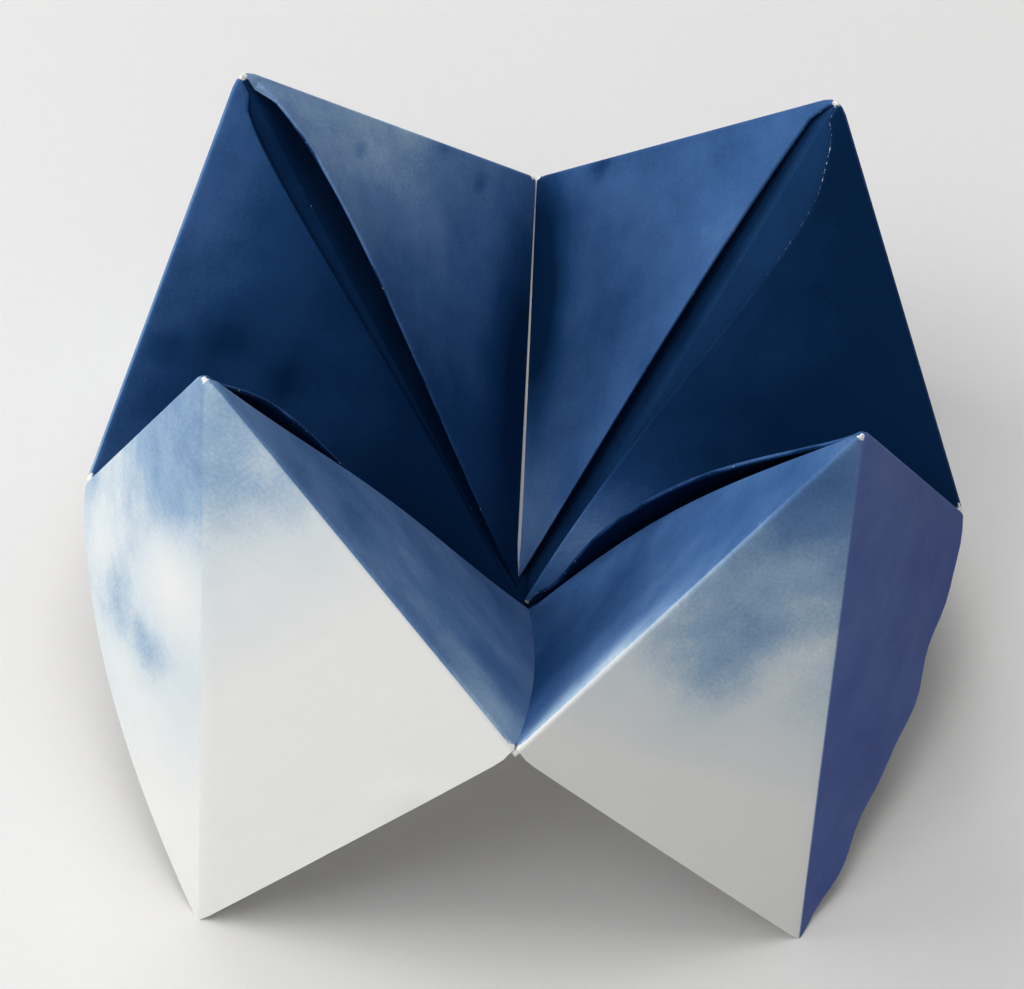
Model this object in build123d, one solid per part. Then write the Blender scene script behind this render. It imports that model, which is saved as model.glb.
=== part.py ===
from build123d import *

import os
from dataclasses import dataclass
from math import asin, atan2, cos, log, pi, radians, sin, sqrt

# A paper fortune teller: one square sheet, folded twice to its centre and opened onto its four corners.
# Millimetres, +Z up, +X to the right of someone who looks from the front, +Y away from them.
# The origin lies under the middle of the model, on the ground that the four feet stand on.

# The sheet
sheet_side = 210.0
paper_thickness = 0.25

# How steeply each valley climbs from the low centre to the rim, in degrees, before it is set on its feet
front_rise_angle = 25.7
right_rise_angle = 19.0
back_rise_angle = 37.9
left_rise_angle = 20.6

# Air that the folded layers keep between them
spine_gap = 0.20
flap_gap = 0.15

# How far each doubled flap edge stands back from the ridge beside it, and the slit where two flaps meet
flap_setback = 0.5
slit_width = 0.8

# How high each flap edge springs off the layer under it: first the valley that it belongs to, then the side
front_left_lift = 0.5
front_right_lift = 0.5
right_front_lift = 3.4
right_back_lift = 1.6
back_right_lift = 1.4
back_left_lift = 4.0
left_back_lift = 1.2
left_front_lift = 3.2

# How much further a flap edge draws back from its ridge where it springs most: most edges, two slack ones
flap_draw = 0.3
right_back_draw = 3.6
left_back_draw = 1.8

# Where a flap edge springs most, as a share of its length from the peak, on most edges and on a creased one
flap_crest_share = 0.5
left_front_crest_share = 0.27

# How far each outer wall bellies out at its free edge: first the valley that it hangs from, then the side
front_left_bow = 0.3
front_right_bow = 0.3
right_front_bow = 2.2
right_back_bow = 1.2
back_right_bow = 0.8
back_left_bow = 0.8
left_back_bow = 1.5
left_front_bow = 3.0

# How far the raw edge of an outer wall stops short of the valley end beside it
edge_trim = 0.3

# Each peak is pressed solid over its last stretch and worn blunt, and each foot is worn flat
peak_pressed = 1.8
peak_worn = 0.7
foot_worn = 0.25

# How near two mitred halves have to meet to be joined
join_slack = 1e-5

# Sizes that follow from the ones above
page = sheet_side / 4
half_paper = paper_thickness / 2
spine_radius = (spine_gap + paper_thickness) / 2
edge_radius = (flap_gap + paper_thickness) / 2
under_height = 2 * spine_radius
wrap_radius = spine_radius + 2 * edge_radius
cover_top = under_height + 2 * edge_radius + half_paper
overrun = 2 * wrap_radius
sides = (half_paper, -half_paper)

# How many flat stretches a flap has down its length, and how many facets round its doubled edge
stretches = 7
edge_creases = 4

# How far round its cone an outer wall is drawn before its edges are cut, in degrees
wall_sweep_angle = 90


def along(angle):
    """The unit vector at an angle, in radians, from the first axis of a section."""
    return Vector(cos(angle), sin(angle))


def left_of(angle):
    """The unit vector to the left of someone who walks at an angle."""
    return Vector(-sin(angle), cos(angle))


def polygon(*corners):
    """A flat face with the given corners."""
    return Face(Wire.make_polygon(corners))


def facets(near, far):
    """Flat triangles between two sections of a flap's face, hinged on lines that run to the valley end."""
    middle = (len(near) - 1) / 2
    triangles = []
    for count in range(len(near) - 1):
        spine, edge = (count, count + 1) if count < middle else (count + 1, count)
        triangles.append(polygon(near[spine], near[edge], far[spine]))
        triangles.append(polygon(near[edge], far[edge], far[spine]))
    return triangles


def valley_end(azimuth, rise):
    """The rim end of a valley fold, one page length from the low centre."""
    level = page * cos(radians(rise))
    return Vector(level * cos(radians(azimuth)), level * sin(radians(azimuth)), page * sin(radians(rise)))


def peak_between(first, second):
    """The peak over two valley ends: one page from each, and a page's diagonal from the centre."""
    foot = (first + second) * (page**2 / (page**2 + first.dot(second)))
    climb = first.cross(second).normalized()
    return foot + climb * sqrt(2 * page**2 - foot.length**2)


def corner_below(peak, first, second):
    """The sheet's corner, which is the centre mirrored in the plane of a peak and its two valley ends."""
    across = (first - peak).cross(second - peak).normalized()
    return across * (2 * peak.dot(across))


@dataclass
class FlapEdge:
    """How a doubled flap edge lies: how high it springs, how far it draws back and where it does so most."""

    lift: float
    draw: float = flap_draw
    crest: float = flap_crest_share

    def ease(self, share):
        """The share of the lift at a share of the edge's length: none at its ends, all at its crest."""
        return sin(pi * share ** (log(0.5) / log(self.crest)))


@dataclass
class Pocket:
    """One corner pocket: the centre, its peak, its foot and the valley ends on its two sides."""

    centre: Vector
    peak: Vector
    foot: Vector
    valleys: tuple

    def seen_from(self, ground):
        """The same pocket, measured from a plane that stands for the ground."""
        local = ground.to_local_coords
        valleys = tuple(local(valley) for valley in self.valleys)
        return Pocket(local(self.centre), local(self.peak), local(self.foot), valleys)

    def half(self, side, neighbour, edge, bow):
        """The half of this pocket that hangs from one of its valleys, beyond which a neighbour lies."""
        return HalfPocket(self, self.valleys[side], self.valleys[1 - side], neighbour.peak, edge, bow)


def folded_corners():
    """The four pockets, from the front right one round to the front left one, set level on their feet."""
    front = valley_end(-90, front_rise_angle)
    right = valley_end(0, right_rise_angle)
    back = valley_end(90, back_rise_angle)
    left = valley_end(180, left_rise_angle)
    pockets = []
    for first, second in ((front, right), (right, back), (back, left), (left, front)):
        peak = peak_between(first, second)
        pockets.append(Pocket(Vector(0, 0, 0), peak, corner_below(peak, first, second), (first, second)))
    one_diagonal = pockets[1].foot - pockets[3].foot
    other_diagonal = pockets[2].foot - pockets[0].foot
    ground = Plane(origin=pockets[0].foot, x_dir=Vector(1, 0, 0), z_dir=one_diagonal.cross(other_diagonal))
    return [pocket.seen_from(ground) for pocket in pockets]


@dataclass
class HalfPocket:
    """Half of a corner pocket: four half-square pages that are bound along one spine fold."""

    pocket: Pocket
    valley: Vector
    far_valley: Vector
    far_peak: Vector
    edge: FlapEdge
    bow: float

    def __post_init__(self):
        self.inward = (self.pocket.centre - self.valley).normalized()
        self.down_spine = (self.valley - self.pocket.peak).normalized()
        normal = self.inward.cross(self.down_spine)
        self.flap_side = normal if normal.Z > 0 else -normal
        wall = self.pocket.foot - self.valley
        self.wall_angle = atan2(wall.dot(self.flap_side), wall.dot(self.inward))
        across = (self.pocket.peak - self.far_peak).length / 2
        level = sqrt(page**2 - across**2)
        self.raw_edge = page - (cover_top * level + slit_width * page / 2) / across
        self.set_wall_bend()

    def set_wall_bend(self):
        """Find the cone of the outer wall, which holds the spine and the ridge and bellies between them."""
        outward = self.inward * cos(self.wall_angle) + self.flap_side * sin(self.wall_angle)
        within = self.flap_side * cos(self.wall_angle) - self.inward * sin(self.wall_angle)
        ridge = (self.down_spine + outward).normalized()
        middle = (self.down_spine + ridge).normalized()
        half_width = middle.dot(self.down_spine)
        belly = asin(self.bow * half_width / page)
        tilt = atan2(cos(belly) - half_width, sin(belly))
        axis = middle * cos(tilt) + within * sin(tilt)
        self.inside = (axis - self.down_spine * axis.dot(self.down_spine)).normalized()
        self.leaving = atan2(-self.inside.dot(self.inward), self.inside.dot(self.flap_side))
        self.apex = self.pocket.peak + self.flap_side * spine_radius - self.inside * wrap_radius
        self.cone_axis = axis if axis.dot(self.down_spine.cross(ridge)) > 0 else -axis

    def plane_at(self, distance):
        """The plane square to the spine at a distance from the peak."""
        origin = self.pocket.peak + self.down_spine * distance
        return Plane(origin=origin, x_dir=self.inward, z_dir=self.inward.cross(self.flap_side))

    def base(self, side):
        """One face of the base page and of the spine fold at its end, as curves in a section."""
        page_face = Line((page + overrun, -side), (0, -side))
        fold = ThreePointArc((0, -side), (-spine_radius - side, spine_radius), (0, under_height + side))
        return [page_face, fold]

    def flap_face(self, distance, side):
        """One face of the doubled flap in a section, as points: under page, flap edge and cover page."""
        share = min(max(distance - peak_pressed, 0) / (self.raw_edge - peak_pressed), 1)
        ease = self.edge.ease(share)
        width = distance - flap_setback - self.edge.draw * ease - edge_radius - half_paper
        lift = self.edge.lift * ease**2
        slope = atan2(lift, width)
        hub = Vector(width, under_height + lift) + left_of(slope) * edge_radius
        creases = round(edge_creases)
        turns = [slope - pi / 2 + pi * count / creases for count in range(creases + 1)]
        edge = [hub + along(turn) * (edge_radius - side) for turn in turns]
        points = [Vector(0, under_height + side), *edge, Vector(0, under_height + 2 * edge_radius - side)]
        return [self.plane_at(distance).from_local_coords(point) for point in points]

    def under(self, side):
        """One face of the under page where the cover page has ended."""
        return [Line((0, under_height + side), (page - flap_setback, under_height + side))]

    def wrap(self, side):
        """One face of the outer fold, which wraps round the spine from the cover page to the outer wall."""
        radius = wrap_radius - side
        hub = Vector(0, spine_radius)
        middle = hub + along(self.leaving / 2 + pi) * radius
        return [ThreePointArc(hub + Vector(0, radius), middle, hub - left_of(self.leaving) * radius)]

    def strip(self, distance, curves):
        """The cut face of the folded paper in a section: its two sides, joined across the two ends."""
        one = curves(half_paper)
        other = curves(-half_paper)
        caps = [Line(one[0] @ 0, other[0] @ 0), Line(one[-1] @ 1, other[-1] @ 1)]
        return self.plane_at(distance) * make_face(one + other + caps)

    def length_of(self, curves, start, end):
        """A straight length of folded paper, the same all along, between two distances from the peak."""
        return extrude(self.strip(start, curves), amount=end - start, dir=self.down_spine)

    def flap_pages(self):
        """The doubled flap up to the raw edge of its cover page, in flat facets from section to section."""
        lengths = round(stretches)
        step = (self.raw_edge - peak_pressed) / lengths
        distances = [peak_pressed + step * count for count in range(lengths + 1)]
        outside = [self.flap_face(distance, -half_paper) for distance in distances]
        within = [self.flap_face(distance, half_paper) for distance in distances]
        faces = [polygon(*outside[end], *within[end][::-1]) for end in (0, -1)]
        for near in range(lengths):
            far = near + 1
            faces += facets(outside[near], outside[far]) + facets(within[near], within[far])
            for end in (0, -1):
                rim = (outside[near][end], outside[far][end], within[far][end], within[near][end])
                faces.append(polygon(*rim))
        return Solid(Shell(faces))

    def outer_wall(self):
        """The wall as a piece of a cone that springs from the peak, cut square to the spine at its edge."""
        near = [self.apex + self.inside * side + self.down_spine * (peak_pressed / 2) for side in sides]
        far = [self.apex + self.inside * side + self.down_spine * (2 * page) for side in sides]
        profile = make_face(Polyline(near[0], near[1], far[1], far[0], close=True))
        cone = revolve(profile, axis=Axis(self.apex, self.cone_axis), revolution_arc=wall_sweep_angle)
        start = Plane(origin=self.plane_at((peak_worn + peak_pressed) / 2).origin, z_dir=self.down_spine)
        end = Plane(origin=self.plane_at(page - edge_trim).origin, z_dir=-self.down_spine)
        return split(split(cone, bisect_by=start), bisect_by=end)

    def pressed_peak(self):
        """The solid end of the peak, from where it is worn blunt to where the layers part."""
        outside = self.wrap(-half_paper)[0]
        past_ridge = outside @ 1 + along(self.wall_angle) * (peak_pressed + overrun)
        over_ridge = (peak_pressed + overrun, cover_top)
        outline = make_face([outside, Polyline(outside @ 1, past_ridge, over_ridge, outside @ 0)])
        return extrude(
            self.plane_at(peak_worn) * outline, amount=peak_pressed - peak_worn, dir=self.down_spine
        )

    def solid(self):
        """The half pocket, mitred along the valley and along the ridge to meet its two neighbours."""
        past_valley = page + overrun
        whole = self.pressed_peak().fuse(
            self.length_of(self.base, peak_pressed, past_valley),
            self.flap_pages(),
            self.length_of(self.under, self.raw_edge, past_valley),
            self.length_of(self.wrap, peak_pressed, self.raw_edge),
            self.outer_wall(),
        )
        in_valley = Plane(origin=self.valley, z_dir=self.pocket.peak - self.far_peak)
        on_ridge = Plane(origin=self.pocket.peak, z_dir=self.valley - self.far_valley)
        return split(split(whole, bisect_by=in_valley), bisect_by=on_ridge)


def half_pockets():
    """The eight half pockets in pairs, one pair for each corner."""
    front_right, back_right, back_left, front_left = folded_corners()
    slack_right = FlapEdge(right_back_lift, right_back_draw)
    slack_left = FlapEdge(left_back_lift, left_back_draw)
    creased = FlapEdge(left_front_lift, crest=left_front_crest_share)
    return [
        (
            front_right.half(0, front_left, FlapEdge(front_right_lift), front_right_bow),
            front_right.half(1, back_right, FlapEdge(right_front_lift), right_front_bow),
        ),
        (
            back_right.half(0, front_right, slack_right, right_back_bow),
            back_right.half(1, back_left, FlapEdge(back_right_lift), back_right_bow),
        ),
        (
            back_left.half(0, back_right, FlapEdge(back_left_lift), back_left_bow),
            back_left.half(1, front_left, slack_left, left_back_bow),
        ),
        (
            front_left.half(0, back_left, creased, left_front_bow),
            front_left.half(1, front_right, FlapEdge(front_left_lift), front_left_bow),
        ),
    ]


def folded_sheet():
    """The whole sheet as one solid that stands on its four worn feet."""
    pairs = [[half.solid() for half in pair] for pair in half_pockets()]
    feet = [min(half.bounding_box().min.Z for half in pair) for pair in pairs]
    ground = max(feet) + foot_worn
    halves = [half for pair in pairs for half in pair]
    sheet = halves[0].fuse(*halves[1:], tol=join_slack)
    sheet = split(sheet, bisect_by=Plane(origin=(0, 0, ground)))
    box = sheet.bounding_box()
    return Pos(-box.center().X, -box.center().Y, -box.min.Z) * sheet


os.makedirs("parts", exist_ok=True)
export_step(folded_sheet(), "parts/folded_sheet.step")
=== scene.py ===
"""A paper fortune teller: one square sheet with a blue wash, folded twice to its centre and opened.

The sheet is made flat, creased, folded by the same sums that its solid follows, and then given its thickness.
All lengths are metres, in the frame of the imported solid.
"""

import logging
import math
from dataclasses import dataclass, field
from enum import Enum

import bpy
import numpy as np
from mathutils import Matrix, Vector


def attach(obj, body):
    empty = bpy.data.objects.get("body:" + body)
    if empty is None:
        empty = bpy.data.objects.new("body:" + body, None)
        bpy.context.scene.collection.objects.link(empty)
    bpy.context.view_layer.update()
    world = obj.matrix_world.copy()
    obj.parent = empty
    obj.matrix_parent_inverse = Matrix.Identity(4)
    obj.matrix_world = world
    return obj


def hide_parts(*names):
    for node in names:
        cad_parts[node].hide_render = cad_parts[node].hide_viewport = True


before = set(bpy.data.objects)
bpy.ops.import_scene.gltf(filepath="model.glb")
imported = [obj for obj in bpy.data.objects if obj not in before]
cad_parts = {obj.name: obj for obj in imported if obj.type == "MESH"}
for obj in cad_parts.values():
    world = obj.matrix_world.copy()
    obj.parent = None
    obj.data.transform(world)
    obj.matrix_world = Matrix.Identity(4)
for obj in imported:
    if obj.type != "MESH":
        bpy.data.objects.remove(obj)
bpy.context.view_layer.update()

MM = 0.001
LOG = logging.getLogger("fortune_teller")
Triple = tuple[float, float, float]
STILL: Triple = (0.0, 0.0, 0.0)

# A Mix node's two colours and its mixed colour, by the numbers of their sockets.
MIX_ONE, MIX_OTHER, MIX_RESULT = 6, 7, 2

# The least distance from a peak, and share of a raw edge, at which a section is worked out.
LEAST_DISTANCE = 1e-7
LEAST_SHARE = 1e-9


class Page(Enum):
    """The four layers of a half pocket, from the inside of the toy to its outside."""

    BASE = 0
    UNDER = 1
    COVER = 2
    WALL = 3


class Corner(Enum):
    """The four corner pockets, by the signs of their flat coordinates."""

    FRONT_RIGHT = (1, -1)
    BACK_RIGHT = (1, 1)
    BACK_LEFT = (-1, 1)
    FRONT_LEFT = (-1, -1)


class Valley(Enum):
    """The four valley folds, by the direction in which each runs from the low centre."""

    FRONT = -90
    RIGHT = 0
    BACK = 90
    LEFT = 180


@dataclass(frozen=True)
class Tone:
    """How deep the blue is on a page: at its peak, at its valley end and at its third corner."""

    peak: float
    valley: float
    tip: float


@dataclass(frozen=True)
class Blotch:
    """A soft patch of deeper or paler blue, by its distance from the peak and from the spine fold."""

    from_peak: float
    from_spine: float
    radius: float
    depth: float
    stretch: float = 1.0


@dataclass(frozen=True)
class Wrinkle:
    """A small ridge or dent in a page, between two points, by their distances from the peak and the spine."""

    start: tuple[float, float]
    end: tuple[float, float]
    height: float
    width: float


@dataclass(frozen=True)
class Ripple:
    """Waves along the raw edge of a slack wall, strongest at the edge and gone at its two ends."""

    long_wave: float = 3.1 * MM
    short_wave: float = 1.7 * MM
    short_share: float = 0.6
    short_start: float = 1.3
    begins: float = 0.72
    end_reach: float = 6 * MM

    def height(self, s: np.ndarray, w: np.ndarray, side: float) -> np.ndarray:
        """How high the waves stand at points of a wall, for a wave of height one.

        Args:
            s: Distances from the peak, down the spine fold.
            w: Distances from the outer fold.
            side: The length of a page's short side.

        Returns:
            The height at each point.
        """
        reach = smooth(s, side * self.begins, side) * smooth(w, 0, self.end_reach)
        reach = reach * smooth(s - w, 0, self.end_reach)
        short = np.sin(w / self.short_wave + self.short_start)
        return reach * (np.sin(w / self.long_wave) + self.short_share * short)


@dataclass(frozen=True)
class WearAndHighlight:
    """How pale the corners and folds are made, as depths from 0 to 1, and how wide: handling has rubbed the
    wash off the corners, and the fold lines are partly rubbed wash and partly painted highlight where the
    rounded folds catch the light.
    """

    corner: float = 0.9
    corner_radius: float = 0.6 * MM
    fold_width: float = 0.16 * MM
    # A pale line along the wall's ridge fold, and painted highlight along the lit ridge of the base page.
    wall_ridge_pale_line: float = 0.26
    base_ridge_highlight: float = 0.3


@dataclass(frozen=True)
class HalfStyle:
    """How one half pocket lies and how it is coloured.

    The lift, crest and swell say how high the flap's edge springs, where, and how suddenly. The setback, draw
    and pull say how far the edge keeps off the ridge. The slits are those beside the valley.
    """

    corner: Corner
    valley: Valley
    lift: float
    bow: float
    cover: Tone
    wall: Tone
    draw: float = 0.3 * MM
    crest: float = 0.5
    base: Tone = Tone(1.0, 1.0, 1.0)
    cover_blotches: tuple[Blotch, ...] = ()
    wall_blotches: tuple[Blotch, ...] = ()
    wall_wrinkles: tuple[Wrinkle, ...] = ()
    wavy_edge: float = 0.0
    violet: float = 0.0
    # Painted highlight along the spine fold; along the flap's edge fold, painted highlight and worn dashes.
    spine_highlight: float = 0.30
    flap_wear_and_highlight: float = 0.36
    swell: float = 2.0
    pull: float = 1.0
    setback: float = 0.4 * MM
    centre_setback: float = 0.0
    centre_lift: float = 0.0
    slit_at_rim: float = 0.3 * MM
    slit_at_centre: float = 0.3 * MM
    slit_bulge: float = 0.0


def unit(vector: np.ndarray) -> np.ndarray:
    """The vector at a length of one."""
    return vector / np.linalg.norm(vector)


def along(angle: np.ndarray) -> np.ndarray:
    """Unit vectors at angles from the first axis of a section, one row each."""
    return np.stack([np.cos(angle), np.sin(angle)], axis=-1)


def smooth(value: np.ndarray, low: float, high: float) -> np.ndarray:
    """A soft step from 0 at low to 1 at high."""
    share = np.clip((value - low) / (high - low), 0, 1)
    return share * share * (3 - 2 * share)


def near(distance: np.ndarray, width: float) -> np.ndarray:
    """A soft band round a line or a point, 1 on it and 0 well away."""
    return np.exp(-((distance / width) ** 2))


@dataclass
class PocketCorners:
    """The ideal corners of one pocket: low centre, peak, foot and its two valley ends."""

    centre: np.ndarray
    peak: np.ndarray
    foot: np.ndarray
    valleys: dict[Valley, np.ndarray]


@dataclass(frozen=True)
class Give:
    """How far the handled paper stands off its ideal fold, in millimetres.

    It is given at the low centre, the peaks, the feet, the valleys' rim ends and middles, and the tips of the
    flaps beside each valley. A place that isn't listed is where the ideal fold has it.
    """

    centre: Triple = (0.905, -0.833, -0.650)
    peaks: dict[Corner, Triple] = field(
        default_factory=lambda: {
            Corner.FRONT_RIGHT: (0.188, -1.093, -0.868),
            Corner.BACK_RIGHT: (0.400, -0.561, -0.441),
            Corner.BACK_LEFT: (-0.975, -0.028, -0.038),
            Corner.FRONT_LEFT: (0.365, 0.832, 0.669),
        }
    )
    feet: dict[Corner, Triple] = field(
        default_factory=lambda: {
            Corner.FRONT_RIGHT: (-0.366, 0.47, 0.0),
            Corner.FRONT_LEFT: (0.0, 0.31, 0.0),
        }
    )
    valleys: dict[Valley, Triple] = field(
        default_factory=lambda: {
            Valley.FRONT: (0.244, 0.007, 0.009),
            Valley.RIGHT: (0.771, -0.646, -0.503),
            Valley.BACK: (0.312, -1.137, -0.901),
            Valley.LEFT: (-0.912, -1.077, -0.873),
        }
    )
    flaps: dict[Valley, Triple] = field(
        default_factory=lambda: {
            Valley.FRONT: (0.905, -0.833, -0.650),
            Valley.RIGHT: (0.4, -0.3, 0.1),
            Valley.BACK: (-0.428, 1.039, 0.820),
            Valley.LEFT: (0.3, -0.8, -0.2),
        }
    )
    bends: dict[Valley, Triple] = field(default_factory=lambda: {Valley.FRONT: (1.25, 0.0, 0.0)})

    def rows(self, corner: Corner, valley: Valley) -> np.ndarray:
        """One half pocket's share in metres: peak, valley end, low centre, flap's tip, foot, mid-valley."""
        tips = self.centre, self.flaps[valley], self.feet.get(corner, STILL)
        return np.array([self.peaks[corner], self.valleys[valley], *tips, self.bends.get(valley, STILL)]) * MM


@dataclass
class HalfPocket:
    """Half of a corner pocket: four half-square pages that are bound along one spine fold.

    Pressed and pinch say how far from the peak the layers lie shut, and by where they have parted. The shares
    keep each bend and setback within its page near the peak.
    """

    style: HalfStyle
    corners: PocketCorners
    far_peak: np.ndarray
    give: np.ndarray
    page: float
    thickness: float = 0.25 * MM
    spine_gap: float = 0.06 * MM
    flap_gap: float = 0.06 * MM
    slit: float = 0.8 * MM
    pressed: float = 1.8 * MM
    pinch: float = 1.1 * MM
    trim: float = 0.3 * MM
    slit_reach: float = 3 * MM
    slit_closes: float = 0.9
    wall_reach: float = 2.5 * MM
    setback_share: float = 0.55
    draw_share: float = 0.5
    spine_share: float = 0.25
    edge_share: float = 0.2
    wrap_share: float = 0.45
    centre_from: float = 0.7
    centre_lift_from: float = 0.3

    def __post_init__(self) -> None:
        """Work out the directions and the radii that the sections are made from."""
        self.valley_end = self.corners.valleys[self.style.valley]
        self.far_valley = next(p for v, p in self.corners.valleys.items() if v is not self.style.valley)
        self.peak = self.corners.peak
        self.inward = unit(self.corners.centre - self.valley_end)
        self.down_spine = unit(self.valley_end - self.peak)
        normal = np.cross(self.inward, self.down_spine)
        self.flap_side = normal if normal[2] > 0 else -normal
        self.spine_radius = (self.spine_gap + self.thickness) / 2
        self.edge_radius = (self.flap_gap + self.thickness) / 2
        self.wrap_radius = self.spine_radius + 2 * self.edge_radius
        across = np.linalg.norm(self.peak - self.far_peak) / 2
        level = math.sqrt(self.page**2 - across**2)
        cover_top = 2 * self.spine_radius + 2 * self.edge_radius + self.thickness / 2
        self.raw_edge = self.page - (cover_top * level + self.slit * self.page / 2) / across
        self.slit_share = self.page / 2 / across
        valley_normal = self.peak - self.far_peak
        self.mitre = -valley_normal.dot(self.flap_side) / valley_normal.dot(self.down_spine)
        self.bend_wall()

    def bend_wall(self) -> None:
        """Find the cone that the outer wall lies on, and how far its ridge stands off the ideal one."""
        to_foot = self.corners.foot - self.valley_end
        turn = math.atan2(to_foot.dot(self.flap_side), to_foot.dot(self.inward))
        outward = self.inward * math.cos(turn) + self.flap_side * math.sin(turn)
        within = self.flap_side * math.cos(turn) - self.inward * math.sin(turn)
        ridge = unit(self.down_spine + outward)
        middle = unit(self.down_spine + ridge)
        half_width = middle.dot(self.down_spine)
        belly = math.asin(self.style.bow * half_width / self.page)
        tilt = math.atan2(math.cos(belly) - half_width, math.sin(belly))
        axis = middle * math.cos(tilt) + within * math.sin(tilt)
        self.inside = unit(axis - self.down_spine * axis.dot(self.down_spine))
        self.leaving = math.atan2(-self.inside.dot(self.inward), self.inside.dot(self.flap_side))
        self.axis = axis if axis.dot(np.cross(self.down_spine, ridge)) > 0 else -axis
        flat_spine = unit(self.down_spine - self.axis * self.axis.dot(self.down_spine))
        flat_ridge = unit(ridge - self.axis * self.axis.dot(ridge))
        self.sweep = math.acos(np.clip(flat_spine.dot(flat_ridge), -1, 1))
        self.at_spine = self.flap_side * self.spine_radius - self.inside * self.wrap_radius
        plane = unit(self.valley_end - self.far_valley)
        out_of_ridge = unit(np.cross(ridge, plane))
        local = np.array(Matrix.Rotation(self.sweep, 3, Vector(self.axis)) @ Vector(self.inside))
        self.at_ridge = out_of_ridge * (self.at_spine.dot(local) / out_of_ridge.dot(local))

    def flap_section(self, s: np.ndarray) -> tuple[np.ndarray, np.ndarray, np.ndarray]:
        """Where the flap edge is in sections at distances s from the peak.

        Args:
            s: Distances from the peak, down the spine fold.

        Returns:
            The centre of the flap's edge fold, the flap's slope there, and how far its layers have parted.
        """
        part = np.clip(s / self.pinch, 0, 1)
        share = np.clip((s - self.pressed) / (self.raw_edge - self.pressed), LEAST_SHARE, 1)
        ease = np.sin(math.pi * share ** (math.log(0.5) / math.log(self.style.crest)))
        setback = np.minimum(self.style.setback, self.setback_share * s)
        setback = setback + (self.edge_radius + self.thickness / 2) * part
        setback = setback + self.style.centre_setback * smooth(s, self.centre_from * self.page, self.page)
        width = s - setback - np.minimum(self.style.draw * ease**self.style.pull, self.draw_share * s)
        lift = self.style.lift * ease**self.style.swell
        lift = lift + self.style.centre_lift * smooth(share, self.centre_lift_from, 1.0)
        slope = np.arctan2(lift, width)
        edge = self.edge_radius * part
        hub = np.stack([width, 2 * self.spine_radius * part + lift], axis=-1)
        hub = hub + along(slope + math.pi / 2) * edge[:, None]
        return hub, slope, part

    def place(self, page: Page, s: np.ndarray, w: np.ndarray) -> np.ndarray:
        """Fold points of one page into place.

        Args:
            page: The page that the points lie on.
            s: Their distances from the peak, down the spine fold.
            w: Their distances from the spine fold.

        Returns:
            One row of coordinates for each point.
        """
        s = np.maximum(s, LEAST_DISTANCE)
        w = np.clip(w, 0, s)
        if page is Page.COVER:
            kept = 1 - self.slit_beside(w, w / s) / self.page
            s, w = s * kept, w * kept
        hub, slope, part = self.flap_section(s)
        spine = self.spine_radius * part
        edge = self.edge_radius * part
        wrap = spine + 2 * edge
        spine_arc = np.minimum(math.pi / 2 * spine, self.spine_share * s)
        edge_arc = np.minimum(math.pi / 2 * edge, self.edge_share * s)
        wrap_arc = np.minimum(wrap * (math.pi + self.leaving) / 2, self.wrap_share * s)
        zero = np.zeros_like(s)
        if page is Page.BASE:
            fold = np.stack([zero, spine], -1) + along(math.pi + w / spine_arc * math.pi / 2) * spine[:, None]
            flat = np.stack([(w - spine_arc) * s / (s - spine_arc), zero], -1)
            section = np.where((w < spine_arc)[:, None], fold, flat)
            slip = self.mitre * section[:, 1]
        elif page is Page.UNDER:
            fold = np.stack([zero, spine], -1) + along(math.pi - w / spine_arc * math.pi / 2) * spine[:, None]
            far = hub + along(slope - math.pi / 2) * edge[:, None]
            share = ((w - spine_arc) / (s - spine_arc - edge_arc))[:, None]
            flat = np.stack([zero, 2 * spine], -1) * (1 - share) + far * share
            turn = slope - math.pi / 2 + (w - s + edge_arc) / edge_arc * math.pi / 2
            rim = hub + along(turn) * edge[:, None]
            section = np.where((w < spine_arc)[:, None], fold, flat)
            section = np.where((w > s - edge_arc)[:, None], rim, section)
            slip = self.mitre * section[:, 1]
        elif page is Page.COVER:
            middle = math.pi + self.leaving / 2
            turn = middle - w / wrap_arc * (math.pi / 2 + self.leaving / 2)
            fold = np.stack([zero, spine], -1) + along(turn) * wrap[:, None]
            far = hub + along(slope + math.pi / 2) * edge[:, None]
            share = ((w - wrap_arc) / (s - wrap_arc - edge_arc))[:, None]
            flat = np.stack([zero, 2 * (spine + edge)], -1) * (1 - share) + far * share
            rim = hub + along(slope + (s - w) / edge_arc * math.pi / 2) * edge[:, None]
            section = np.where((w < wrap_arc)[:, None], fold, flat)
            section = np.where((w > s - edge_arc)[:, None], rim, section)
            slip = self.mitre * section[:, 1] - self.trim * (1 - smooth(w, 0, self.slit_reach))
        else:
            return self.place_wall(s, w, part, wrap_arc)
        down = s + slip * s / self.page
        return (
            self.peak
            + down[:, None] * self.down_spine
            + section[:, :1] * self.inward
            + section[:, 1:] * self.flap_side
            + self.given(page, s, w)
        )

    def slit_beside(self, w: np.ndarray, share: np.ndarray) -> np.ndarray:
        """How far the cover page is cut back towards the peak, to leave a slit at the valley.

        Args:
            w: Distances from the spine fold.
            share: The same distances, as shares of the page's width there.

        Returns:
            The length cut back at each point, which is none at the flap's edge.
        """
        slit = self.style.slit_at_rim * (1 - share) + self.style.slit_at_centre * share
        slit = slit + self.style.slit_bulge * np.sin(math.pi * share)
        closed = 1 - smooth(share, self.slit_closes, 1.0)
        return slit * self.slit_share * smooth(w, 0, self.slit_reach) * closed

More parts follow.
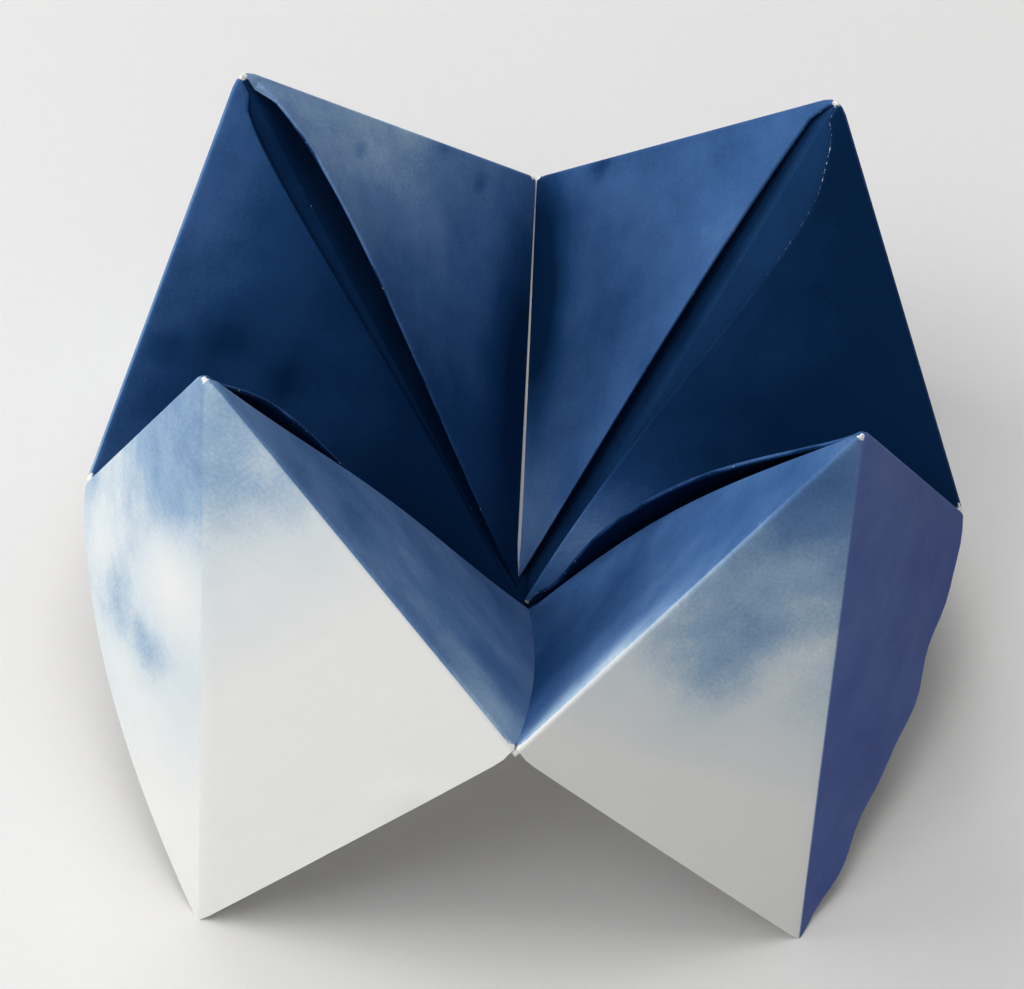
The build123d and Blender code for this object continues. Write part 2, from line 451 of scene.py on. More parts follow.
    def given(self, page: Page, s: np.ndarray, w: np.ndarray) -> np.ndarray:
        """How far points of a page stand off the ideal fold, by their nearness to the page's three corners.

        Args:
            page: The page that the points lie on.
            s: Their distances from the peak, down the spine fold.
            w: Their distances from the spine fold.

        Returns:
            One row of offsets for each point.
        """
        nearness = np.stack([self.page - s, s - w, w], axis=-1) / self.page
        tip = {Page.BASE: 2, Page.UNDER: 3, Page.COVER: 3, Page.WALL: 4}[page]
        mid_valley = 0 if page is Page.WALL else 4 * nearness[:, 1:2] * nearness[:, 2:]
        return nearness @ self.give[[0, 1, tip]] + mid_valley * self.give[5]

    def place_wall(self, s: np.ndarray, w: np.ndarray, part: np.ndarray, wrap_arc: np.ndarray) -> np.ndarray:
        """Fold points of the outer wall into place, on its half of the outer fold and on its cone.

        Args:
            s: Distances from the peak, down the spine fold.
            w: Distances from the outer fold.
            part: How far the layers have parted at each point.
            wrap_arc: Half of the outer fold's length round its bend at each point.

        Returns:
            One row of coordinates for each point.
        """
        wrap = self.wrap_radius * part
        turn = math.pi + self.leaving / 2 + w / wrap_arc * (math.pi / 2 + self.leaving / 2)
        bend = along(turn) * wrap[:, None]
        fold = s[:, None] * self.down_spine + bend[:, :1] * self.inward
        fold = fold + (bend[:, 1:] + (self.spine_radius * part)[:, None]) * self.flap_side
        out = np.maximum(w - wrap_arc, 0) * s / (s - wrap_arc)
        angle = np.arctan2(out, s)
        turned = (angle / (math.pi / 4) * self.sweep)[:, None]
        rise = self.axis * self.axis.dot(self.down_spine)
        level = self.down_spine - rise
        side = np.cross(self.axis, level)
        ray = rise + level * np.cos(turned) + side * np.sin(turned)
        share = (angle / (math.pi / 4))[:, None]
        stand_off = (self.at_spine * (1 - share) + self.at_ridge * share) * part[:, None]
        cone = np.hypot(s, out)[:, None] * ray + stand_off
        fold_height = (self.spine_radius + self.wrap_radius * math.sin(math.pi + self.leaving / 2)) * part
        slip = self.mitre * fold_height * (1 - smooth(w, 0, self.wall_reach)) - self.trim * (1 - w / s)
        slip = slip * s / self.page
        body = np.where((w < wrap_arc)[:, None], fold, cone)
        return self.peak + body + slip[:, None] * self.down_spine + self.given(Page.WALL, s, w)


def blue_of(page: Page, style: HalfStyle, s: np.ndarray, w: np.ndarray, side: float) -> np.ndarray:
    """How deep the blue is at points of a page, before the wash's own clouds.

    Args:
        page: The page that the points lie on.
        style: How the half pocket is coloured.
        s: Distances from the peak, down the spine fold.
        w: Distances from the spine fold.
        side: The length of a page's short side.

    Returns:
        The depth at each point, 0 for bare paper and 1 for full blue.
    """
    tone = {Page.COVER: style.cover, Page.WALL: style.wall}.get(page, style.base)
    blotches = {Page.COVER: style.cover_blotches, Page.WALL: style.wall_blotches}.get(page, ())
    depth = tone.peak * (1 - s / side) + tone.valley * (s - w) / side + tone.tip * w / side
    # Some patches are painted shade along the valleys, or painted light, as the half pockets' styles say.
    for spot in blotches:
        reach = np.hypot((s - spot.from_peak) / spot.stretch, w - spot.from_spine) / spot.radius
        depth = depth + spot.depth * near(reach, 1.0)
    return depth


def height_of(wrinkles: tuple[Wrinkle, ...], s: np.ndarray, w: np.ndarray) -> np.ndarray:
    """How far wrinkles raise the points of a page.

    Args:
        wrinkles: The page's wrinkles.
        s: Distances from the peak, down the spine fold.
        w: Distances from the spine fold.

    Returns:
        The height at each point.
    """
    height = np.zeros_like(s)
    points = np.stack([s, w], -1)
    for wrinkle in wrinkles:
        start, end = np.array(wrinkle.start), np.array(wrinkle.end)
        run = end - start
        share = np.clip((points - start) @ run / run.dot(run), 0, 1)
        gap = np.linalg.norm(points - start - share[:, None] * run, axis=1)
        height += wrinkle.height * near(gap, wrinkle.width)
    return height


def rows_of(mesh: bpy.types.Mesh, name: str) -> np.ndarray:
    """Read the coordinates or normals of a mesh's points.

    Args:
        mesh: The mesh.
        name: What is read, "co" or "normal".

    Returns:
        One row for each point.
    """
    rows = np.empty(len(mesh.vertices) * 3)
    mesh.vertices.foreach_get(name, rows)
    return rows.reshape(-1, 3)


@dataclass
class FoldedSheet:
    """The whole toy: a square sheet that is creased, folded into four pockets and given its thickness."""

    halves: tuple[HalfStyle, ...]
    side: float = 210 * MM
    thickness: float = 0.25 * MM
    rises: dict[Valley, float] = field(
        default_factory=lambda: {
            Valley.FRONT: 25.7,
            Valley.RIGHT: 19.0,
            Valley.BACK: 37.9,
            Valley.LEFT: 20.6,
        }
    )
    front_right_foot: Triple = (33.6984 * MM, -41.0320 * MM, -0.5312 * MM)
    give: Give = Give()
    wear_and_edge_light: WearAndHighlight = WearAndHighlight()
    ripple: Ripple = Ripple()
    cells: int = 120
    spine_cuts: tuple[float, ...] = (0.12 * MM, 0.24 * MM, 0.36 * MM, 0.58 * MM, 0.82 * MM)
    edge_cuts: tuple[float, ...] = (0.105 * MM, 0.21 * MM, 0.315 * MM)
    middle_cuts: tuple[float, ...] = (0.3 * MM,)
    weld: float = 0.01 * MM
    cut_tolerance: float = 1e-7
    smooth_angle: float = 38.0
    node: str = "folded_sheet"

    @property
    def page(self) -> float:
        """The short side of a page, which is a quarter of the sheet's side."""
        return self.side / 4

    def valley_end(self, valley: Valley) -> np.ndarray:
        """The rim end of a valley fold before the toy is set level.

        Args:
            valley: The valley fold.

        Returns:
            The place of its rim end, from the low centre.
        """
        rise, turn = math.radians(self.rises[valley]), math.radians(valley.value)
        level = self.page * math.cos(rise)
        return np.array([level * math.cos(turn), level * math.sin(turn), self.page * math.sin(rise)])

    def pocket_corners(self) -> dict[Corner, PocketCorners]:
        """Work out every pocket's corners from the four valley folds.

        Returns:
            The corners of the four pockets, with the toy set level on its feet and in its place.
        """
        sides = {
            Corner.FRONT_RIGHT: (Valley.FRONT, Valley.RIGHT),
            Corner.BACK_RIGHT: (Valley.RIGHT, Valley.BACK),
            Corner.BACK_LEFT: (Valley.BACK, Valley.LEFT),
            Corner.FRONT_LEFT: (Valley.LEFT, Valley.FRONT),
        }
        raw = {}
        for corner, (one, other) in sides.items():
            first, second = self.valley_end(one), self.valley_end(other)
            foot = (first + second) * (self.page**2 / (self.page**2 + first.dot(second)))
            peak = foot + unit(np.cross(first, second)) * math.sqrt(2 * self.page**2 - foot.dot(foot))
            across = unit(np.cross(first - peak, second - peak))
            raw[corner] = (peak, across * 2 * peak.dot(across), {one: first, other: second})
        feet = {corner: found[1] for corner, found in raw.items()}
        one_diagonal = feet[Corner.BACK_RIGHT] - feet[Corner.FRONT_LEFT]
        other_diagonal = feet[Corner.BACK_LEFT] - feet[Corner.FRONT_RIGHT]
        up = unit(np.cross(one_diagonal, other_diagonal))
        right = unit(np.array([1.0, 0, 0]) - up * up[0])
        turn = np.stack([right, np.cross(up, right), up])

        def settle(point: np.ndarray) -> np.ndarray:
            """The point with the toy set level."""
            return turn @ (point - feet[Corner.FRONT_RIGHT]) + np.array(self.front_right_foot)

        return {
            corner: PocketCorners(
                settle(np.zeros(3)), settle(peak), settle(foot), {v: settle(p) for v, p in ends.items()}
            )
            for corner, (peak, foot, ends) in raw.items()
        }

    def half_pockets(self) -> list[HalfPocket]:
        """Put each half pocket's style to its place.

        Returns:
            The eight half pockets, in the order of their styles.
        """
        corners = self.pocket_corners()
        made = []
        for style in self.halves:
            mine = corners[style.corner]
            neighbour = next(
                c for name, c in corners.items() if name is not style.corner and style.valley in c.valleys
            )
            give = self.give.rows(style.corner, style.valley)
            made.append(HalfPocket(style, mine, neighbour.peak, give, self.page, self.thickness))
        return made

    def creased_square(self) -> bpy.types.Object:
        """A flat square with edges along every crease and beside it, where the paper will bend round.

        Returns:
            The flat mesh object, with flat coordinates as its UV map.
        """
        bpy.ops.object.select_all(action="DESELECT")
        bpy.ops.mesh.primitive_grid_add(
            x_subdivisions=self.cells, y_subdivisions=self.cells, size=self.side, calc_uvs=True
        )
        sheet = bpy.context.object
        sheet.name = "paper_sheet"
        bpy.ops.object.mode_set(mode="EDIT")
        page, root = self.page, math.sqrt(0.5)
        cuts = []
        for axis in ((1, 0), (0, 1)):
            for centre in (-page, page):
                cuts += [(axis, centre + sign * gap) for gap in self.spine_cuts for sign in (-1, 1)]
            cuts += [(axis, sign * gap) for gap in self.middle_cuts for sign in (-1, 1)]
        for diagonal in ((root, root), (root, -root)):
            for centre in (-2 * page * root, 2 * page * root):
                cuts += [(diagonal, centre)]
                cuts += [(diagonal, centre + sign * gap) for gap in self.edge_cuts for sign in (-1, 1)]
            cuts += [(diagonal, 0.0)]
            cuts += [(diagonal, sign * gap) for gap in self.middle_cuts for sign in (-1, 1)]
        for normal, distance in cuts:
            bpy.ops.mesh.select_all(action="SELECT")
            bpy.ops.mesh.bisect(
                plane_co=(normal[0] * distance, normal[1] * distance, 0),
                plane_no=(normal[0], normal[1], 0),
                threshold=self.cut_tolerance,
            )
        bpy.ops.mesh.select_all(action="SELECT")
        bpy.ops.mesh.remove_doubles(threshold=self.weld)
        bpy.ops.mesh.quads_convert_to_tris(quad_method="BEAUTY", ngon_method="BEAUTY")
        bpy.ops.object.mode_set(mode="OBJECT")
        return sheet

    def fold(self, sheet: bpy.types.Object) -> None:
        """Fold the flat mesh into place, and note on it how blue and how violet each point is, and how pale
        wear and painted highlight make it.

        Args:
            sheet: The flat mesh object.
        """
        mesh = sheet.data
        flat = rows_of(mesh, "co")
        reach = np.abs(flat[:, :2])
        u, v = reach.max(axis=1), reach.min(axis=1)
        placed = np.zeros_like(flat)
        blue, worn, violet, height = np.zeros((4, len(flat)))
        side_on = reach[:, 0] >= reach[:, 1]
        a = self.page
        outer = np.where(u + v < 2 * a, Page.UNDER.value, Page.COVER.value)
        page_of = np.where(u < a, Page.BASE.value, np.where(v > a, Page.WALL.value, outer))
        for half in self.half_pockets():
            sign_x, sign_y = half.style.corner.value
            in_corner = (flat[:, 0] * sign_x >= 0) & (flat[:, 1] * sign_y >= 0)
            in_half = in_corner & (side_on == (half.style.valley in (Valley.LEFT, Valley.RIGHT)))
            for page in Page:
                here = in_half & (page_of == page.value)
                if page in (Page.BASE, Page.UNDER):
                    s, w = a - v[here], np.abs(u[here] - a)
                else:
                    s, w = u[here] - a, np.abs(v[here] - a)
                placed[here] = half.place(page, s, w)
                blue[here] = blue_of(page, half.style, s, w, a)
                if page is Page.WALL:
                    violet[here] = half.style.violet
                    height[here] = height_of(half.style.wall_wrinkles, s, w)
                    height[here] += half.style.wavy_edge * self.ripple.height(s, w, a)
                worn[here] = self.wear_and_edge_light_of(page, half.style, s, w)
        mesh.vertices.foreach_set("co", placed.ravel())
        mesh.update()
        placed += rows_of(mesh, "normal") * height[:, None]
        mesh.vertices.foreach_set("co", placed.ravel())
        for name, values in (("blue", blue), ("worn", worn), ("violet", violet)):
            mesh.attributes.new(name, "FLOAT", "POINT").data.foreach_set("value", values.astype(np.float32))
        mesh.update()

    def wear_and_edge_light_of(self, page: Page, style: HalfStyle, s: np.ndarray, w: np.ndarray) -> np.ndarray:
        """How pale the paper is made near the corners and folds of a page, by wear and by painted highlight.

        Args:
            page: The page that the points lie on.
            style: The half pocket's wear and painted highlight.
            s: Distances from the peak, down the spine fold.
            w: Distances from the spine fold.

        Returns:
            How pale each point is made, from 0 to 1.
        """
        wear_and_edge_light = self.wear_and_edge_light
        at_peak = wear_and_edge_light.corner * near(s, wear_and_edge_light.corner_radius)
        at_valley = wear_and_edge_light.corner * near(np.hypot(s - self.page, w), wear_and_edge_light.corner_radius)
        # Lines along the spine and the ridges: painted highlight where the folds catch the light, with worn
        # dashes on some flaps; the corners are worn.
        spine = near(w, wear_and_edge_light.fold_width) * style.spine_highlight
        ridge = {Page.BASE: wear_and_edge_light.base_ridge_highlight, Page.WALL: wear_and_edge_light.wall_ridge_pale_line}.get(page, style.flap_wear_and_highlight)
        far = near(s - w, wear_and_edge_light.fold_width) * ridge
        return np.maximum(np.maximum(spine, far), np.maximum(at_peak, at_valley))

    def stand(self, sheet: bpy.types.Object) -> None:
        """Press the feet flat where they stand on the ground.

        Args:
            sheet: The folded sheet.
        """
        mesh = sheet.data
        points = rows_of(mesh, "co")
        points[:, 2] = np.maximum(points[:, 2], 0)
        mesh.vertices.foreach_set("co", points.ravel())
        mesh.update()

    def build(self, finish: "WashedPaper") -> bpy.types.Object:
        """Make the folded sheet and dress it.

        Args:
            finish: The paper's finish.

        Returns:
            The finished piece.
        """
        sheet = self.creased_square()
        self.fold(sheet)
        for material in finish.materials():
            sheet.data.materials.append(material)
        thick = sheet.modifiers.new("thickness", "SOLIDIFY")
        thick.thickness = self.thickness
        thick.offset = 0
        thick.use_even_offset = False
        thick.material_offset = 1
        thick.material_offset_rim = 2
        bpy.ops.object.select_all(action="DESELECT")
        sheet.select_set(True)
        bpy.context.view_layer.objects.active = sheet
        bpy.ops.object.modifier_apply(modifier=thick.name)
        bpy.ops.object.shade_smooth_by_angle(angle=math.radians(self.smooth_angle))
        self.stand(sheet)
        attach(sheet, "root")
        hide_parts(self.node)
        return sheet


@dataclass(frozen=True)
class Signal:
    """One socket of a material's nodes, with arithmetic that adds the nodes it needs."""

    tree: bpy.types.NodeTree
    socket: bpy.types.NodeSocket

    def math(self, operation: str, *values: "Signal | float") -> "Signal":
        """This value and others through one Math node."""
        inputs = dict(enumerate((self, *values)))
        return add_node(self.tree, "ShaderNodeMath", {"operation": operation}, inputs)

    def __add__(self, other: "Signal | float") -> "Signal":
        """The sum."""
        return self.math("ADD", other)

    __radd__ = __add__

    def __mul__(self, other: "Signal | float") -> "Signal":
        """The product."""
        return self.math("MULTIPLY", other)

    __rmul__ = __mul__

    def __sub__(self, other: "Signal | float") -> "Signal":
        """The difference."""
        return self.math("SUBTRACT", other)

    def __rsub__(self, other: float) -> "Signal":
        """A number less this value."""
        return self * -1.0 + other

    def clamp(self) -> "Signal":
        """This value kept from 0 to 1."""
        settings = {"operation": "ADD", "use_clamp": True}
        return add_node(self.tree, "ShaderNodeMath", settings, {0: self, 1: 0.0})

    def step(self, low: float, high: float) -> "Signal":
        """A soft step from 0 at low to 1 at high."""
        return add_node(
            self.tree,
            "ShaderNodeMapRange",
            {"interpolation_type": "SMOOTHSTEP"},
            {"Value": self, "From Min": low, "From Max": high},
        )


def add_node(
    tree: bpy.types.NodeTree, kind: str, settings: dict, inputs: dict, output: "int | str" = 0
) -> Signal:
    """Add one node to a material.

    Args:
        tree: The material's node tree.
        kind: The node's type.
        settings: The node's own settings, with a ramp's stops under "stops".
        inputs: Values or signals for its sockets, by name or number.
        output: The socket that the signal comes from.

    Returns:
        The node's output as a signal.
    """
    node = tree.nodes.new(kind)
    for name, value in settings.items():
        if name == "stops":
            ramp = node.color_ramp
            while len(ramp.elements) < len(value):
                ramp.elements.new(0.5)
            for element, (place, colour) in zip(ramp.elements, value):
                element.position = place
                element.color = (*colour, 1)
        else:
            setattr(node, name, value)
    for name, value in inputs.items():
        socket = node.inputs[name]
        if isinstance(value, Signal):
            tree.links.new(value.socket, socket)
        else:
            socket.default_value = value
    return Signal(tree, node.outputs[output])


def new_material(
    name: str, roughness: float, specular: float
) -> tuple[bpy.types.Material, bpy.types.NodeTree, bpy.types.Node]:
    """Start a material.

    Args:
        name: The material's name.
        roughness: How matt it is.
        specular: Its specular level.

    Returns:
        The material, its node tree and its main shader.
    """
    material = bpy.data.materials.new(name)
    material.use_nodes = True
    shader = material.node_tree.nodes["Principled BSDF"]
    shader.inputs["Roughness"].default_value = roughness
    shader.inputs["Specular IOR Level"].default_value = specular
    return material, material.node_tree, shader


def mixed(tree: bpy.types.NodeTree, factor: "Signal | float", one: object, other: object) -> Signal:
    """Two colours mixed by a factor."""
    inputs = {"Factor": factor, MIX_ONE: one, MIX_OTHER: other}
    return add_node(tree, "ShaderNodeMix", {"data_type": "RGBA"}, inputs, MIX_RESULT)


@dataclass(frozen=True)
class Cloud:
    """A layer of noise: the size of its features in millimetres, its detail, its roughness and its weight."""

    size: float
    detail: float
    roughness: float = 0.5
    weight: float = 1.0


@dataclass(frozen=True)
class WashedPaper:
    """Matt white paper with a Prussian blue wash on its printed side, worn pale at the corners and paled
    along the folds by wear and painted highlight.

    The stops give the wash's colour from bare paper to full blue. The wash is uneven where it is neither bare
    nor full: uneven_from says how soon that starts, and uneven_to where it ends.
    """

    bare: Triple = (0.80, 0.79, 0.77)
    stops: tuple[tuple[float, Triple], ...] = (
        (0.0, (0.80, 0.795, 0.775)),
        (0.14, (0.64, 0.70, 0.735)),
        (0.30, (0.30, 0.43, 0.58)),
        (0.48, (0.115, 0.215, 0.41)),
        (0.64, (0.045, 0.115, 0.28)),
        (0.80, (0.011, 0.050, 0.150)),
        (1.0, (0.001, 0.017, 0.060)),
    )
    violet_tint: Triple = (0.095, 0.10, 0.36)
    bare_shade: Triple = (0.70, 0.70, 0.69)
    bare_mottle: float = 0.35
    sheet_size: float = 210.0
    roughness: float = 0.72
    specular: float = 0.06
    tooth: Cloud = Cloud(0.45, 3.0, 0.6, 0.13)
    dimples: Cloud = Cloud(7.0, 2.0)
    clouds: Cloud = Cloud(26.0, 4.0, 0.55, 0.36)
    wisps: Cloud = Cloud(9.0, 5.0, 0.62, 0.26)
    pale_line_breakup: Cloud = Cloud(0.8, 3.0, 0.7, 0.9)
    worn_and_lit_from: float = 0.45
    worn_and_lit_to: float = 0.62
    uneven_from: float = 4.0
    uneven_to: float = 1.35
    tooth_height: float = 0.35
    dimple_height: float = 0.9
    bump_strength: float = 0.35
    bump_distance: float = 0.25 * MM

    def noise(self, tree: bpy.types.NodeTree, cloud: Cloud) -> Signal:
        """Cloudy noise over the flat sheet.

        Args:
            tree: The material's node tree.
            cloud: The layer of noise.

        Returns:
            The noise, about 0.5 on average.
        """
        inputs = {
            "Vector": add_node(tree, "ShaderNodeUVMap", {"uv_map": "UVMap"}, {}),
            "Scale": self.sheet_size / cloud.size,
            "Detail": cloud.detail,
            "Roughness": cloud.roughness,
        }
        return add_node(tree, "ShaderNodeTexNoise", {"noise_dimensions": "2D"}, inputs)

    def grain(self, tree: bpy.types.NodeTree, shader: bpy.types.Node) -> Signal:
        """Give the shader the paper's tooth and its faint dimples as a bump.

        Args:
            tree: The material's node tree.
            shader: Its main shader.

        Returns:
            The tooth's noise, for the colour.
        """
        tooth = self.noise(tree, self.tooth)
        dimples = self.noise(tree, self.dimples)
        height = tooth * self.tooth_height + dimples * self.dimple_height
        inputs = {"Strength": self.bump_strength, "Distance": self.bump_distance, "Height": height}
        bump = add_node(tree, "ShaderNodeBump", {}, inputs)
        tree.links.new(bump.socket, shader.inputs["Normal"])
        return tooth

    def printed(self) -> bpy.types.Material:
        """Make the washed side.

        Returns:
            The material, which reads from its mesh how blue and how violet the sheet is, and where wear and
            painted highlight make it pale.
        """
        material, tree, shader = new_material("washed_paper", self.roughness, self.specular)
        tooth = self.grain(tree, shader)
        blue, worn, violet = (
            add_node(tree, "ShaderNodeAttribute", {"attribute_name": name}, {}, "Fac")
            for name in ("blue", "worn", "violet")
        )
        clouds = self.noise(tree, self.clouds)
        wisps = self.noise(tree, self.wisps)
        uneven = (blue * self.uneven_from).clamp() * (self.uneven_to - blue).clamp()
        depth = blue + (clouds - 0.5) * uneven * self.clouds.weight
        depth = depth + (wisps - 0.5) * uneven * self.wisps.weight
        depth = depth + (tooth - 0.5) * uneven * self.tooth.weight
        colour = add_node(tree, "ShaderNodeValToRGB", {"stops": self.stops}, {0: depth.clamp()})
        colour = mixed(tree, violet, colour, (*self.violet_tint, 1))
        # Pale lines at the corners and along the folds: wear, and painted highlight where the folds catch the
        # light.
        pale_line_breakup = (self.noise(tree, self.pale_line_breakup) - 0.5) * self.pale_line_breakup.weight
        worn_and_lit_lines = (worn + pale_line_breakup).step(self.worn_and_lit_from, self.worn_and_lit_to)
        colour = mixed(tree, worn_and_lit_lines, colour, (*self.bare, 1))
        tree.links.new(colour.socket, shader.inputs["Base Color"])
        return material

    def plain(self, name: str) -> bpy.types.Material:
        """Make the bare side, or a cut edge.

        Args:
            name: The material's name.

        Returns:
            The material.
        """
        material, tree, shader = new_material(name, self.roughness, self.specular)
        tooth = self.grain(tree, shader)
        shade = mixed(tree, tooth * self.bare_mottle, (*self.bare, 1), (*self.bare_shade, 1))
        tree.links.new(shade.socket, shader.inputs["Base Color"])
        return material

    def materials(self) -> list[bpy.types.Material]:
        """The washed side, the bare side and the cut edge, in the order of the sheet's faces."""
        return [self.printed(), self.plain("bare_paper"), self.plain("cut_edge")]


@dataclass(frozen=True)
class Lamp:
    """A soft square lamp, by the place of its middle, its side and its power."""

    name: str
    place: Triple
    side: float
    watts: float
    colour: Triple = (1.0, 1.0, 1.0)


@dataclass
class Studio:
    """The pale floor, the soft lamps and the camera."""

    lamps: tuple[Lamp, ...]
    eye: Triple = (-0.008887, -0.374731, 0.497749)
    right: Triple = (0.9988257, 0.0290564, 0.0387666)
    up: Triple = (-0.0468794, 0.7815807, 0.6220402)
    lens: float = 183.944
    floor_colour: Triple = (0.735, 0.725, 0.715)
    sky: Triple = (0.93, 0.96, 1.0)
    sky_strength: float = 0.15
    aim: Triple = (0, 0, 0.03)
    board_size: float = 3.0
    board_grain: float = 500.0
    board_shade: float = 0.96
    board_roughness: float = 0.9
    board_specular: float = 0.1
    sensor: float = 36.0
    clip_start: float = 0.01

    def floor(self) -> None:
        """A pale board under the toy, with a very faint grain."""
        bpy.ops.object.select_all(action="DESELECT")
        bpy.ops.mesh.primitive_plane_add(size=self.board_size)
        board = bpy.context.object
        board.name = "floor"
        material, tree, shader = new_material("pale_board", self.board_roughness, self.board_specular)
        place = add_node(tree, "ShaderNodeTexCoord", {}, {}, "Object")
        inputs = {"Vector": place, "Scale": self.board_grain, "Detail": 4.0, "Roughness": 0.6}
        grain = add_node(tree, "ShaderNodeTexNoise", {}, inputs)
        darker = tuple(channel * self.board_shade for channel in self.floor_colour)
        tone = mixed(tree, grain, (*self.floor_colour, 1), (*darker, 1))
        tree.links.new(tone.socket, shader.inputs["Base Color"])
        board.data.materials.append(material)

    def light(self) -> None:
        """The soft lamps and an even, slightly cool sky."""
        middle = Vector(self.aim)
        for lamp in self.lamps:
            data = bpy.data.lights.new(lamp.name, "AREA")
            data.shape = "SQUARE"
            data.size = lamp.side
            data.energy = lamp.watts
            data.color = lamp.colour
            light = bpy.data.objects.new(lamp.name, data)
            bpy.context.scene.collection.objects.link(light)
            light.location = lamp.place
            light.rotation_euler = (middle - Vector(lamp.place)).to_track_quat("-Z", "Y").to_euler()
        world = bpy.data.worlds.new("soft_sky")
        bpy.context.scene.world = world
        world.use_nodes = True
        background = world.node_tree.nodes["Background"]
        background.inputs["Color"].default_value = (*self.sky, 1)
        background.inputs["Strength"].default_value = self.sky_strength

    def camera(self) -> None:
        """The camera, at the angle from which the toy is shown."""
        data = bpy.data.cameras.new("camera")
        data.lens = self.lens
        data.sensor_width = self.sensor
        data.clip_start = self.clip_start
        camera = bpy.data.objects.new("camera", data)
        bpy.context.scene.collection.objects.link(camera)
        right, up = Vector(self.right).normalized(), Vector(self.up).normalized()
        turn = Matrix((right, up, right.cross(up))).transposed().to_4x4()
        camera.matrix_world = Matrix.Translation(self.eye) @ turn
        bpy.context.scene.camera = camera

    def build(self) -> None:
        """Set up the floor, the light and the camera."""
        self.floor()
        self.light()
        self.camera()
        bpy.context.scene.view_settings.view_transform = "Standard"


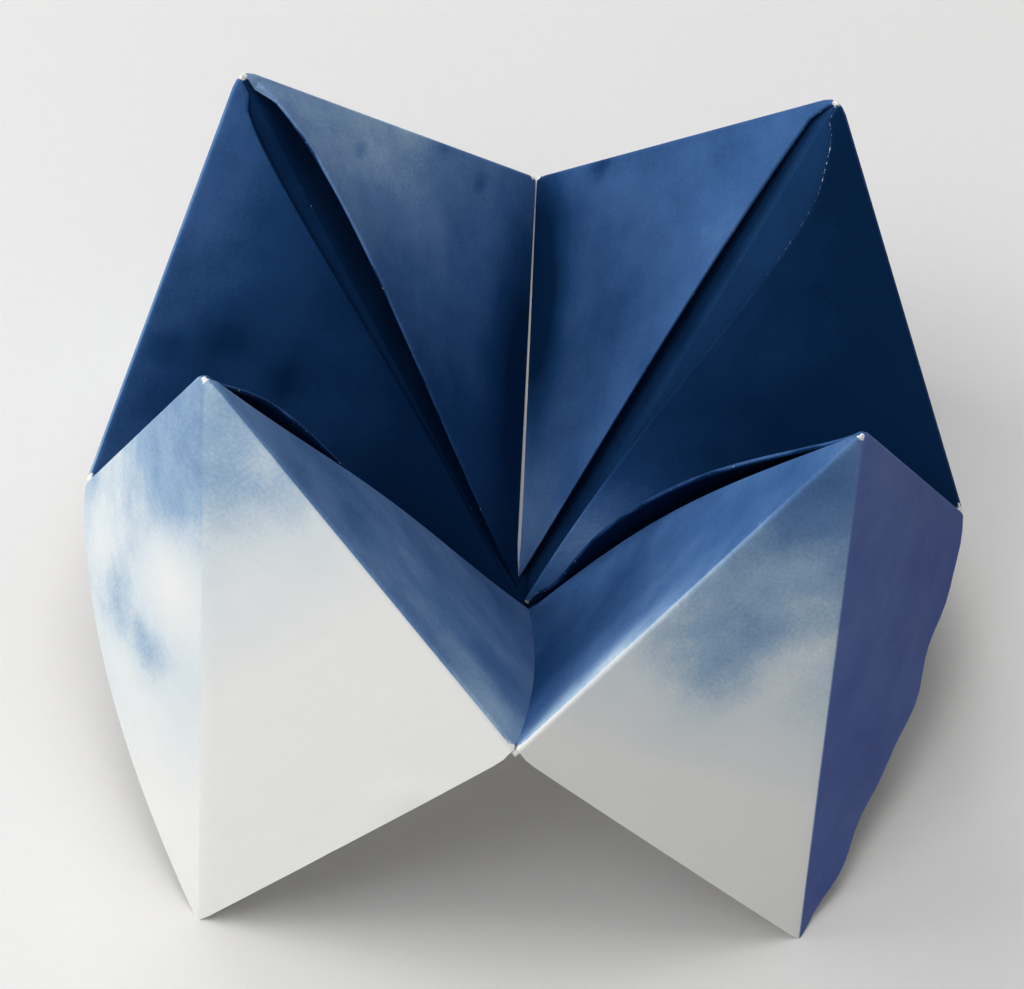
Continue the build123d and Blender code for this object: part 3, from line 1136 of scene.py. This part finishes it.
def half_styles() -> tuple[HalfStyle, ...]:
    """Say how each half pocket springs and bows, and how deep its blue is, with painted shade along some
    valleys and painted light on one flap.

    Returns:
        The styles of the eight half pockets, from the front right one round to the front left one.
    """
    return (
        HalfStyle(
            Corner.FRONT_RIGHT, Valley.FRONT,
            lift=1.9 * MM,
            bow=0.3 * MM,
            slit_at_centre=0.12 * MM,
            slit_at_rim=0.12 * MM,
            swell=1.0,
            slit_bulge=0.3 * MM,
            cover=Tone(0.63, 0.62, 0.72),
            wall=Tone(0.53, -0.04, -0.20),
            cover_blotches=(
                Blotch(42 * MM, 0.0, 4.5 * MM, -0.34, 3.2),
                # This patch deepens the blue along the valley: painted shade in the valley.
                Blotch(52 * MM, 26 * MM, 14 * MM, 0.14, 0.4),
            ),
            wall_blotches=(
                Blotch(30 * MM, 10 * MM, 6 * MM, 0.14, 1.5),
                Blotch(9 * MM, 3 * MM, 7 * MM, 0.10),
            ),
            wall_wrinkles=(Wrinkle((29 * MM, 6 * MM), (31 * MM, 21 * MM), 0.10 * MM, 1.2 * MM),),
        ),
        HalfStyle(
            Corner.FRONT_RIGHT, Valley.RIGHT,
            lift=3.2 * MM,
            bow=2.2 * MM,
            centre_setback=2.1 * MM,
            centre_lift=0.5 * MM,
            swell=1.2,
            cover=Tone(0.70, 0.80, 0.75),
            wall=Tone(0.55, 0.60, 0.54),
            violet=0.5,
            wavy_edge=0.28 * MM,
        ),
        HalfStyle(
            Corner.BACK_RIGHT, Valley.RIGHT,
            lift=0.8 * MM,
            bow=1.2 * MM,
            slit_at_centre=0.8 * MM,
            draw=5.6 * MM,
            crest=0.27,
            pull=1.9,
            cover=Tone(1.02, 1.08, 0.86),
            wall=Tone(0.85, 0.9, 0.7),
            base=Tone(0.82, 0.9, 0.95),
            cover_blotches=(Blotch(47 * MM, 43 * MM, 9 * MM, -0.36),),
            flap_wear_and_highlight=0.50,
        ),
        HalfStyle(
            Corner.BACK_RIGHT, Valley.BACK,
            lift=1.3 * MM,
            bow=0.8 * MM,
            slit_at_centre=0.6 * MM,
            swell=0.6,
            setback=1.75 * MM,
            cover=Tone(0.69, 0.72, 0.66),
            wall=Tone(0.62, 0.55, 0.5),
            base=Tone(0.9, 0.95, 0.95),
            cover_blotches=(
                # This patch deepens the blue along the valley slit: painted shadow cast by the flap across
                # the valley.
                Blotch(51.5 * MM, 16 * MM, 15 * MM, 0.50, 0.28),
                Blotch(50 * MM, 44 * MM, 8 * MM, -0.12),
                Blotch(40.4 * MM, 0.6 * MM, 1.4 * MM, 0.2),
            ),
        ),
        HalfStyle(
            Corner.BACK_LEFT, Valley.BACK,
            lift=4.6 * MM,
            bow=0.8 * MM,
            slit_at_centre=0.8 * MM,
            centre_lift=0.4 * MM,
            crest=0.38,
            swell=0.7,
            # Paler at the peak and deeper towards the valley and the flap's tip: partly the wash and partly
            # painted light and shade. The first patch deepens the valley as painted shade, and the second
            # lightens the upper part as painted light.
            cover=Tone(0.40, 0.54, 0.98),
            wall=Tone(0.6, 0.5, 0.5),
            base=Tone(0.95, 1.0, 1.0),
            cover_blotches=(
                Blotch(52.5 * MM, 22 * MM, 20 * MM, 0.34, 0.32),
                Blotch(27 * MM, 4 * MM, 9 * MM, -0.14),
                Blotch(19.4 * MM, 4.6 * MM, 0.8 * MM, 0.2),
                Blotch(34.4 * MM, 0.8 * MM, 0.8 * MM, 0.2),
                Blotch(41.7 * MM, 3.0 * MM, 0.9 * MM, 0.2),
            ),
        ),
        HalfStyle(
            Corner.BACK_LEFT, Valley.LEFT,
            lift=0.9 * MM,
            bow=1.5 * MM,
            centre_setback=0.8 * MM,
            draw=2.4 * MM,
            crest=0.22,
            pull=1.4,
            cover=Tone(0.70, 0.70, 1.22),
            wall=Tone(0.6, 0.35, 0.2),
            base=Tone(0.95, 1.0, 1.0),
            cover_blotches=(
                Blotch(31 * MM, 8.8 * MM, 3.0 * MM, 0.16),
                Blotch(34 * MM, 3.2 * MM, 2.0 * MM, 0.16),
                Blotch(34 * MM, 17.5 * MM, 2.2 * MM, 0.12, 1.6),
            ),
        ),
        HalfStyle(
            Corner.FRONT_LEFT, Valley.LEFT,
            lift=1.8 * MM,
            bow=3.0 * MM,
            crest=0.2,
            swell=4.5,
            cover=Tone(0.62, 0.75, 0.8),
            wall=Tone(0.39, 0.25, -0.10),
            wall_blotches=(
                Blotch(43 * MM, 15.5 * MM, 4.6 * MM, 0.18),
                Blotch(38 * MM, 21.5 * MM, 4.0 * MM, 0.19),
                Blotch(43.8 * MM, 5.5 * MM, 5.0 * MM, -0.10),
                Blotch(25 * MM, 17 * MM, 7.0 * MM, -0.18, 1.2),
            ),
        ),
        HalfStyle(
            Corner.FRONT_LEFT, Valley.FRONT,
            lift=0.7 * MM,
            bow=0.3 * MM,
            slit_at_centre=0.12 * MM,
            slit_at_rim=0.12 * MM,
            slit_bulge=-0.3 * MM,
            cover=Tone(0.48, 0.50, 0.56),
            wall=Tone(0.30, -0.20, -0.20),
            cover_blotches=(Blotch(48 * MM, 4 * MM, 6 * MM, -0.20, 1.6),),
            wall_blotches=(Blotch(12 * MM, 6 * MM, 8 * MM, 0.04),),
            wall_wrinkles=(
                Wrinkle((51.0 * MM, 20.3 * MM), (50.6 * MM, 15.5 * MM), 0.16 * MM, 0.7 * MM),
                Wrinkle((50.6 * MM, 15.5 * MM), (51.8 * MM, 11.9 * MM), 0.16 * MM, 0.7 * MM),
                Wrinkle((49.4 * MM, 29.3 * MM), (52.4 * MM, 30.0 * MM), -0.16 * MM, 0.35 * MM),
            ),
        ),
    )


def main() -> None:
    """Build the toy and the studio round it."""
    logging.basicConfig(level=logging.INFO, format="%(name)s: %(message)s")
    sheet = FoldedSheet(half_styles()).build(WashedPaper())
    LOG.info("%s has %d faces", sheet.name, len(sheet.data.polygons))
    Studio(
        lamps=(
            Lamp("window", (-0.95, 0.0, 0.42), 0.5, 5.3, (1.0, 1.0, 0.985)),
            Lamp("ceiling", (0.0, 0.0, 1.1), 0.5, 4.0),
            Lamp("front_left", (-0.35, -0.45, 0.95), 0.5, 3.6, (0.985, 0.99, 1.0)),
            Lamp("back", (-0.3, 0.8, 0.6), 0.5, 3.7),
            Lamp("front", (0.0, -0.8, 0.6), 0.5, 0.7, (0.97, 0.985, 1.0)),
        )
    ).build()
    LOG.info("the studio is set up")


if __name__ == "__main__":
    main()
